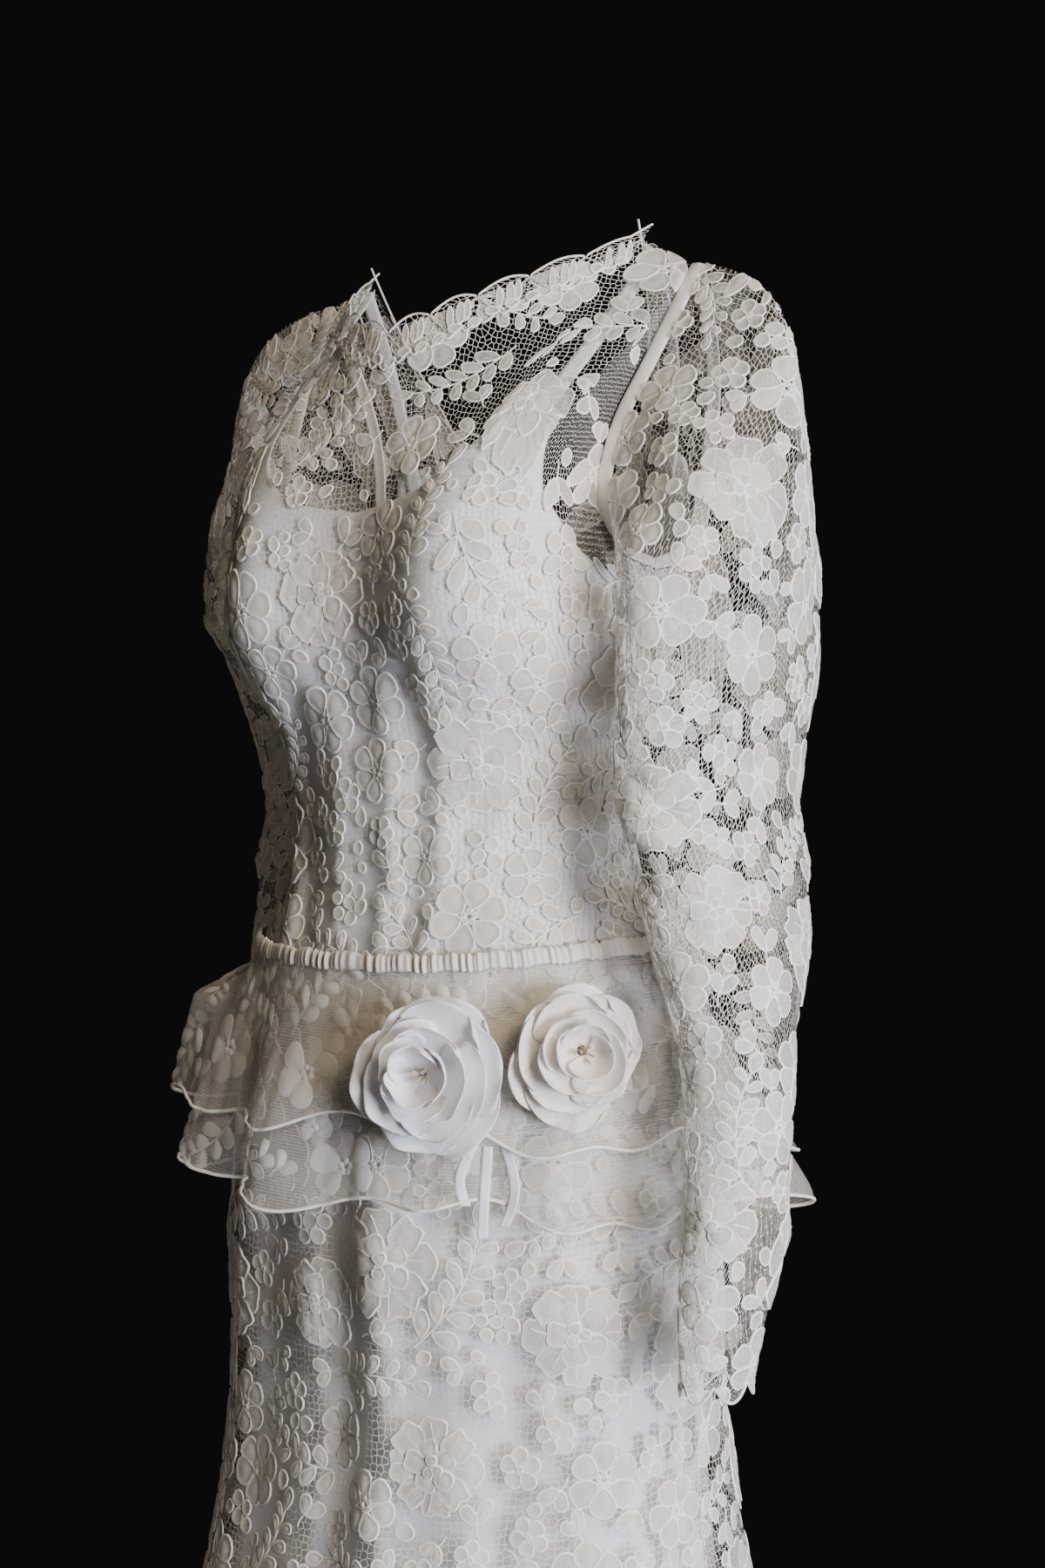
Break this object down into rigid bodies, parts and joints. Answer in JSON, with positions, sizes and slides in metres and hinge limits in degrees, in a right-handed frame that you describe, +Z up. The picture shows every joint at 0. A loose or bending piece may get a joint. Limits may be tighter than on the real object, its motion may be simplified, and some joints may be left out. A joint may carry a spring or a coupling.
{
  "type": "wedding dress, worn form",
  "caption": "Long-sleeved lace wedding dress in its worn form, with sheer yoke, satin lining, fluted double peplum, two fabric roses and a flared skirt to the floor.",
  "frame": {"origin": "midway between the two neck points of the shoulders, where the dress hangs on its wearer", "axes": "+Z up along the dress, front towards -Y, the wearer's left towards +X"},
  "size_m": [0.8197, 0.7762, 1.4363],
  "materials": {
    "lace": "ivory corded floral lace on net",
    "satin_lining": "soft white satin",
    "flounce_net": "sheer ivory net lace with a rolled satin edge",
    "silk_white": "white silk petals",
    "silk_cream": "cream organza petals",
    "ribbon": "narrow satin ribbon",
    "button": "satin covered button"
  },
  "bodies": {
    "root": {"bodice_front": "lace", "bodice_back_left": "lace", "bodice_back_right": "lace", "lining_bodice_front": "satin_lining", "lining_bodice_back": "satin_lining", "lining_strap_left": "satin_lining", "lining_strap_right": "satin_lining", "neck_border_front": "lace", "neck_border_back": "lace", "armhole_binding_left": "lace", "armhole_binding_right": "lace", "sleeve_left": "lace", "sleeve_right": "lace", "waist_ruching": "flounce_net", "peplum_upper": "flounce_net", "peplum_lower": "flounce_net", "skirt_front": "lace", "skirt_back": "lace", "skirt_lining_front": "satin_lining", "skirt_lining_back": "satin_lining", "rose_white_outer": "silk_white", "rose_white_middle": "silk_white", "rose_white_inner": "silk_white", "rose_white_bud": "silk_white", "rose_cream_outer": "silk_cream", "rose_cream_middle": "silk_cream", "rose_cream_inner": "silk_cream", "rose_cream_bud": "silk_cream", "ribbon_1": "ribbon", "ribbon_2": "ribbon", "ribbon_3": "ribbon", "button_1": "button", "button_2": "button", "button_3": "button", "button_4": "button", "button_5": "button", "button_6": "button"}
  },
  "joints": []
}
